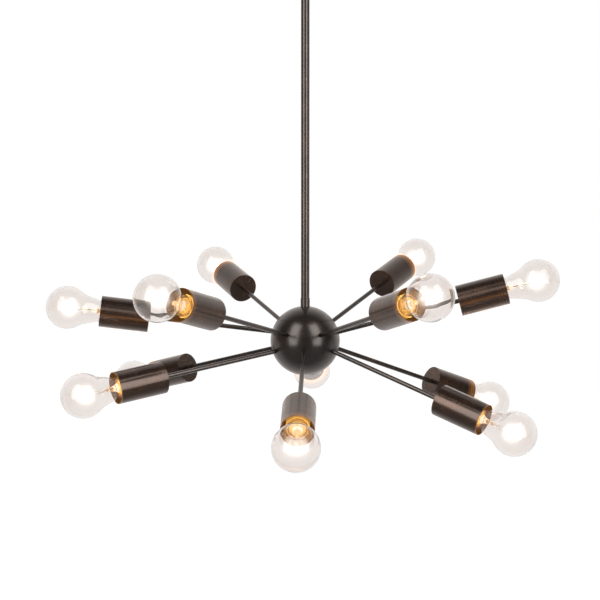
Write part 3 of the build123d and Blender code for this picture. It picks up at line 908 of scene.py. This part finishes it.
def new_lamp(name, kind, power, tint, unseen):
    """Lamp of that kind, hidden from the kinds of ray that unseen names."""
    data = bpy.data.lights.new(name, kind)
    data.color = tint
    data.energy = power
    lamp = bpy.data.objects.new(name, data)
    for ray in unseen:
        setattr(lamp, f"visible_{ray}", False)
    bpy.context.scene.collection.objects.link(lamp)
    return lamp


class CHANDELIER_OT_finish_canopy(bpy.types.Operator):
    """Finishes the canopy, its strap and screws, and the wiring in it"""

    bl_idname = "chandelier.finish_canopy"
    bl_label = "Finish canopy"

    def execute(self, context):
        base = context.scene.chandelier_finish.bronze
        dress(("ceiling_canopy", "cap_nuts"), bronze("canopy_bronze", base))
        dress(("mounting_strap", "swivel_lock_nut"), zinc("strap_zinc"))
        dress(("strap_screws",), screw_steel("screw_plate"))
        dress(("supply_leads",), insulation("lead_insulation"))
        dress(("wire_nuts",), moulded("wire_nut_plastic"))
        return {"FINISHED"}


class CHANDELIER_OT_finish_rod(bpy.types.Operator):
    """Finishes the knuckle, the rod with its nipples, and the cable in them"""

    bl_idname = "chandelier.finish_rod"
    bl_label = "Finish knuckle and rod"

    def execute(self, context):
        base = context.scene.chandelier_finish.bronze
        paler = [1.3 * channel for channel in base]
        dress(("swivel_yoke", "swivel_tongue", "swivel_pivots"), bronze("knuckle_bronze", base))
        dress(("stem_rods", "hub_collar"), bronze("rod_bronze", paler, streak=(0.03, 0.03, 1)))
        dress(("hollow_nipples",), zinc("nipple_zinc"))
        dress(("swivel_cable", "stem_cable"), jacket("cable_jacket"))
        return {"FINISHED"}


class CHANDELIER_OT_finish_ball(bpy.types.Operator):
    """Finishes the ball, its lid and what it holds"""

    bl_idname = "chandelier.finish_ball"
    bl_label = "Finish ball"

    def execute(self, context):
        darker = [0.8 * channel for channel in context.scene.chandelier_finish.bronze]
        dress(("hub_shell", "hub_lid"), bronze("ball_bronze", darker, gloss=0.31))
        dress(("hub_bridge", "hub_nut"), zinc("bridge_zinc"))
        dress(("hub_splice",), jacket("splice_tape", wrap=9 * mm))
        return {"FINISHED"}


class CHANDELIER_OT_finish_lamps(bpy.types.Operator):
    """Finishes the arms, cups, sockets and the leads in them"""

    bl_idname = "chandelier.finish_lamps"
    bl_label = "Finish arms and cups"

    def execute(self, context):
        colours = context.scene.chandelier_finish
        lathe = {"gloss": 0.26, "streak": (0.02, 0.02, 1)}
        for number, place in lamp_places.items():
            # the cups take the browner copy of the bronze, with the bulbs' warm light painted in
            for word, base in (("arm", colours.bronze), ("cup", colours.bronze_cup_painted_warmth)):
                material = bronze(f"{word}_bronze_{number:02d}", base, place, **lathe)
                dress((f"{word}_{number:02d}",), material)
        dress(("arm_nuts",), zinc("arm_nut_zinc"))
        dress(("arm_leads",), jacket("arm_lead_insulation"))
        # socket bodies: porcelain with the bulb's warm light painted on
        dress(("socket_bodies",), porcelain("socket_porcelain_painted_glow"))
        # socket terminals: brass with a painted glow of the bulb's light
        dress(("socket_terminals",), brass("socket_brass", painted_glow_strength=0.25))
        return {"FINISHED"}


class CHANDELIER_OT_make_bulbs(bpy.types.Operator):
    """Makes the twelve lit bulbs in place of their plain solids"""

    bl_idname = "chandelier.make_bulbs"
    bl_label = "Make bulbs"

    def execute(self, context):
        bulb = context.scene.chandelier_bulb
        colours = context.scene.chandelier_finish
        glass = clear_glass("globe_glass", colours.glass_tint, colours.painted_glass_glow)
        # the stem's glass flare takes the porcelain finish, so it shows the same painted gold glow through
        # the neck
        painted_glow_flare = porcelain("flare_painted_glow")
        # the stem's glass gets a stronger, warmer painted glow of the bulb's light
        stem_glass = clear_glass("stem_glass", (0.98, 0.93, 0.87), (0.14, 0.10, 0.06))
        # screw base: brass with a fainter painted glow of the bulb's light
        base_brass = brass("base_brass", painted_glow_strength=0.10)
        insulator = black_glass("base_black_glass")
        contact = solder("contact_solder")
        wire = nickel_wire("lead_nickel")
        coil = hot_wire("filament_tungsten")
        for number, place in lamp_places.items():
            name = f"bulb_{number:02d}"
            globe = glass_globe(f"{name}_globe", bulb, place)
            globe.visible_shadow = False
            globe.visible_diffuse = False
            pieces = [
                (globe, glass, "bulb_glass"),
                (screw_base(f"{name}_screw_base", bulb, place), base_brass, "socket_brass"),
                (base_insulator(f"{name}_insulator", bulb, place), insulator, "porcelain"),
                (base_contact(f"{name}_contact", bulb, place), contact, "zinc_steel"),
                (stem_flare(f"{name}_flare", bulb, place), painted_glow_flare, "bulb_glass"),
                (glass_stem(f"{name}_stem", bulb, place), stem_glass, "bulb_glass"),
                (filament(f"{name}_filament", bulb, place), coil, "zinc_steel"),
            ]
            for word, side in (("left", -1), ("right", 1)):
                pieces.append((lead_wire(f"{name}_wire_{word}", bulb, side, place), wire, "zinc_steel"))
            for piece, material, slot in pieces:
                piece.data.materials.append(material)
                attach(piece, name)
            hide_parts(name)
        return {"FINISHED"}


class CHANDELIER_OT_set_stage(bpy.types.Operator):
    """Sets the camera, the white room, the softboxes and the light of the bulbs"""

    bl_idname = "chandelier.set_stage"
    bl_label = "Set stage"

    def execute(self, context):
        stage = context.scene.chandelier_stage
        colours = context.scene.chandelier_finish
        context.scene.view_settings.view_transform = "Standard"
        context.scene.cycles.transparent_max_bounces = 32
        self.camera(context.scene, stage)
        self.room(context.scene, stage)
        self.floor(stage)
        forward = Vector((sin(-stage.camera_turn), cos(stage.camera_turn), 0))
        for side, word in ((-1, "left"), (1, "right")):
            way = Matrix.Rotation(side * stage.softbox_turn + pi, 3, "Z") @ forward
            spot = ball_centre + way * stage.softbox_distance + Vector((0, 0, stage.softbox_lift))
            self.softbox(f"softbox_{word}", spot, softbox_size, stage.softbox_power)
        above = ball_centre + Vector(overhead_place)
        overhead = self.softbox("softbox_top", above, overhead_size, stage.overhead_power)
        overhead.visible_glossy = False
        metal = self.receivers("lit_metal", ("arm_", "cup_", "hub_", "stem_rods"))
        cups = self.receivers("lit_cups", ("cup_",))
        for word, lift, power, tint in (
            ("copper", stage.copper_lift, stage.copper_power, colours.copper_light),
            ("pale", stage.pale_lift, stage.pale_power, colours.pale_light),
        ):
            spot = ball_centre - forward * stage.strip_distance + Vector((0, 0, lift))
            strip = self.softbox(f"{word}_strip", spot, strip_size, power, tint)
            strip.visible_diffuse = False
            strip.light_linking.receiver_collection = cups
        for number, place in lamp_places.items():
            body = f"bulb_{number:02d}"
            self.bulb_light(body, place, context.scene, metal)
            self.glare(body, place, context.scene)
            self.mouth_glow(body, place, context.scene)
        return {"FINISHED"}

    @staticmethod
    def camera(scene, stage):
        """Camera at the photograph's distance and angle, aimed a little above the ball."""
        rise, turn = stage.camera_rise, stage.camera_turn
        back = Vector((cos(rise) * sin(turn), -cos(rise) * cos(turn), sin(rise)))
        data = bpy.data.cameras.new("camera")
        data.sensor_width = 36.0
        data.lens = stage.lens
        camera = bpy.data.objects.new("camera", data)
        camera.location = ball_centre + back * stage.camera_distance
        pitch = stage.aim_up - rise
        heading = turn + stage.aim_left
        camera.rotation_euler = (pi / 2 + pitch, 0, heading)
        scene.collection.objects.link(camera)
        scene.camera = camera

    @staticmethod
    def room(scene, stage):
        """World: plain white to look at and through, an even fill, and darker in front for reflections."""
        white = (1, 1, 1, 1)
        dim = (0.115, 0.100, 0.090, 1)
        world = bpy.data.worlds.new("white_room")
        world.use_nodes = True
        scene.world = world
        room = Finish(world.node_tree)
        direction = room.node("ShaderNodeTexCoord").outputs["Generated"]
        depth = room.coordinates(direction)[1]
        mirrored = room.mix(depth.ramp(0.0, 0.65), dim, white)
        shine = room.mix(room.rays("Glossy"), colour([stage.fill] * 3), mirrored)
        light = room.mix(room.rays("Camera", "Transmission"), shine, white)
        lit = room.node("ShaderNodeBackground", None, {"Color": light, "Strength": 1.0})
        room.node("ShaderNodeOutputWorld", None, {"Surface": lit.outputs[0]})

    @staticmethod
    def floor(stage):
        """Pale floor that keeps a soft shadow and fades to the white of the room.

        A disc of rings whose radii grow by one factor. To the eye and in the metal most of it is
        light, and the rest is paper, which takes the shadow.
        """
        rings = 24
        sides = 64
        inner_radius = 0.2
        light_share = 0.82
        white = 1.2
        radius = np.geomspace(inner_radius, stage.floor_radius, rings)
        angle = np.linspace(0, 2 * pi, sides, endpoint=False)
        ring = np.stack(np.broadcast_arrays(
            radius[:, None] * np.cos(angle), radius[:, None] * np.sin(angle), -stage.floor_drop), -1)
        points = np.concatenate((ring.reshape(-1, 3), [(0, 0, -stage.floor_drop)]))
        column = np.arange(sides)
        middle = np.stack((np.full(sides, len(points) - 1), column, (column + 1) % sides), -1)
        faces = grid_faces(rings, sides, False)[:, ::-1].tolist() + middle.tolist()
        piece = new_mesh("studio_floor", points, faces)
        material, finish = new_finish("floor_paper")
        deep = finish.coordinates()[1]
        looked = finish.rays("Camera", "Transmission")
        mirrored = finish.rays("Glossy") * (1 - looked)
        fibre = finish.noise(900, 3.0)
        paper = finish.node("ShaderNodeBsdfDiffuse", None, {
            "Color": finish.mix(fibre, (0.80, 0.80, 0.80, 1), (0.84, 0.84, 0.84, 1))})
        glow = looked * white + mirrored * (deep.ramp(-0.35, 0.4) * 0.70 + 0.20)
        light = finish.node("ShaderNodeEmission", None, {"Strength": glow})
        both = finish.node("ShaderNodeMixShader", None, {
            0: (looked + mirrored) * light_share, 1: paper.outputs[0], 2: light.outputs[0]})
        finish.node("ShaderNodeOutputMaterial", None, {"Surface": both.outputs[0]})
        piece.data.materials.append(material)

    @staticmethod
    def receivers(name, starts):
        """Collection of the CAD nodes whose names start so. A lamp linked to it lights them alone."""
        chosen = bpy.data.collections.new(name)
        for word, node in frame["nodes"].items():
            if word.startswith(starts):
                chosen.objects.link(node)
        return chosen

    @staticmethod
    def softbox(name, spot, size, power, tint=(1, 1, 1)):
        """Soft lamp aimed at the ball."""
        lamp = new_lamp(name, "AREA", power, tint, ("camera", "transmission"))
        lamp.data.shape = "RECTANGLE"
        lamp.data.size, lamp.data.size_y = size
        lamp.location = spot
        lamp.rotation_euler = (ball_centre - spot).to_track_quat("-Z", "Y").to_euler()
        return lamp

    @staticmethod
    def round_lamp(name, body, spot, radius, power, tint, unseen):
        """Round lamp that rides on a body."""
        lamp = new_lamp(name, "POINT", power, tint, unseen)
        lamp.data.shadow_soft_size = radius
        lamp.data.use_soft_falloff = False
        lamp.location = spot
        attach(lamp, body)
        return lamp

    def bulb_light(self, body, place, scene, metal):
        """Light that a bulb throws: a warm lamp at the filament, and one that only the metal mirrors."""
        bulb = scene.chandelier_bulb
        stage = scene.chandelier_stage
        colours = scene.chandelier_finish
        wire_radius = 8 * mm
        sheen_radius = 0.9 * bulb.globe_radius
        middle = place @ Vector((0, 0, bulb.filament_height))
        equator = place @ Vector((0, 0, bulb.length - bulb.globe_radius))
        self.round_lamp(f"{body}_light", body, middle, wire_radius, stage.filament_power,
                        colours.filament_light, ("camera", "transmission"))
        sheen = self.round_lamp(f"{body}_sheen", body, equator, sheen_radius, stage.mirrored_power,
                                colours.mirrored_light, ("camera", "transmission", "diffuse"))
        sheen.light_linking.receiver_collection = metal

    def glare(self, body, place, scene):
        """Glare that the eye sees around the filament: three nests of faint lamps along the coil.

        Inwards the radius of the lamps falls evenly and their radiance grows by one factor, so a nest
        fades outwards. The power of a lamp is its radiance times pi times the surface of its ball.
        """
        drawn_in = 0.6
        bulb = scene.chandelier_bulb
        tint = scene.chandelier_finish.glare
        for side, word in ((-1, "left"), (0, "middle"), (1, "right")):
            spot = place @ Vector((side * bulb.glare_spread, 0, bulb.filament_height))
            for count in range(bulb.glare_steps):
                radius = bulb.glare_radius * (1 - drawn_in * count / bulb.glare_steps)
                radiance = bulb.glare_radiance * bulb.glare_growth**count
                power = radiance * 4 * pi**2 * radius**2
                self.round_lamp(f"{body}_glare_{word}_{count}", body, spot, radius, power, tint,
                                ("diffuse", "glossy"))

    @staticmethod
    def mouth_glow(body, place, scene):
        """Glow that spills over the cup's rim: faint discs on the lamp's axis, each seen from one side.

        The discs below the rim face back along the arm, and those above it face out. The power of a
        disc is its radiance times pi times its area.
        """
        rim = scene.chandelier_bulb.mouth_height
        tint = scene.chandelier_finish.mouth_glow
        for count, (rise, radius, radiance) in enumerate(glow_discs):
            power = radiance * pi**2 * radius**2
            glow = new_lamp(f"{body}_glow_{count}", "AREA", power, tint, ("diffuse", "glossy"))
            glow.visible_camera = True
            glow.data.shape = "DISK"
            glow.data.size = 2 * radius
            facing = Matrix.Rotation(pi if rise > 0 else 0, 4, "X")
            glow.matrix_world = place @ Matrix.Translation((0, 0, rim + rise)) @ facing
            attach(glow, body)


class CHANDELIER_PT_panel(bpy.types.Panel):
    """The chandelier's settings and steps"""

    bl_idname = "CHANDELIER_PT_panel"
    bl_label = "Sputnik chandelier"
    bl_space_type = "VIEW_3D"
    bl_region_type = "UI"
    bl_category = "Chandelier"

    def draw(self, context):
        for operator in operators:
            self.layout.operator(operator.bl_idname)
        for group in (context.scene.chandelier_bulb, context.scene.chandelier_finish,
                      context.scene.chandelier_stage):
            column = self.layout.column(align=True)
            for name in group.__annotations__:
                column.prop(group, name)


operators = (
    CHANDELIER_OT_finish_canopy,
    CHANDELIER_OT_finish_rod,
    CHANDELIER_OT_finish_ball,
    CHANDELIER_OT_finish_lamps,
    CHANDELIER_OT_make_bulbs,
    CHANDELIER_OT_set_stage,
)
classes = (BulbSettings, FinishSettings, StageSettings, *operators, CHANDELIER_PT_panel)


def register():
    for made in classes:
        bpy.utils.register_class(made)
    bpy.types.Scene.chandelier_bulb = PointerProperty(type=BulbSettings)
    bpy.types.Scene.chandelier_finish = PointerProperty(type=FinishSettings)
    bpy.types.Scene.chandelier_stage = PointerProperty(type=StageSettings)


def unregister():
    del bpy.types.Scene.chandelier_stage
    del bpy.types.Scene.chandelier_finish
    del bpy.types.Scene.chandelier_bulb
    for made in reversed(classes):
        bpy.utils.unregister_class(made)


def main():
    """Dresses the frame, makes the bulbs and sets the stage."""
    register()
    bpy.ops.chandelier.finish_canopy()
    bpy.ops.chandelier.finish_rod()
    bpy.ops.chandelier.finish_ball()
    bpy.ops.chandelier.finish_lamps()
    bpy.ops.chandelier.make_bulbs()
    bpy.ops.chandelier.set_stage()


if __name__ == "__main__":
    main()
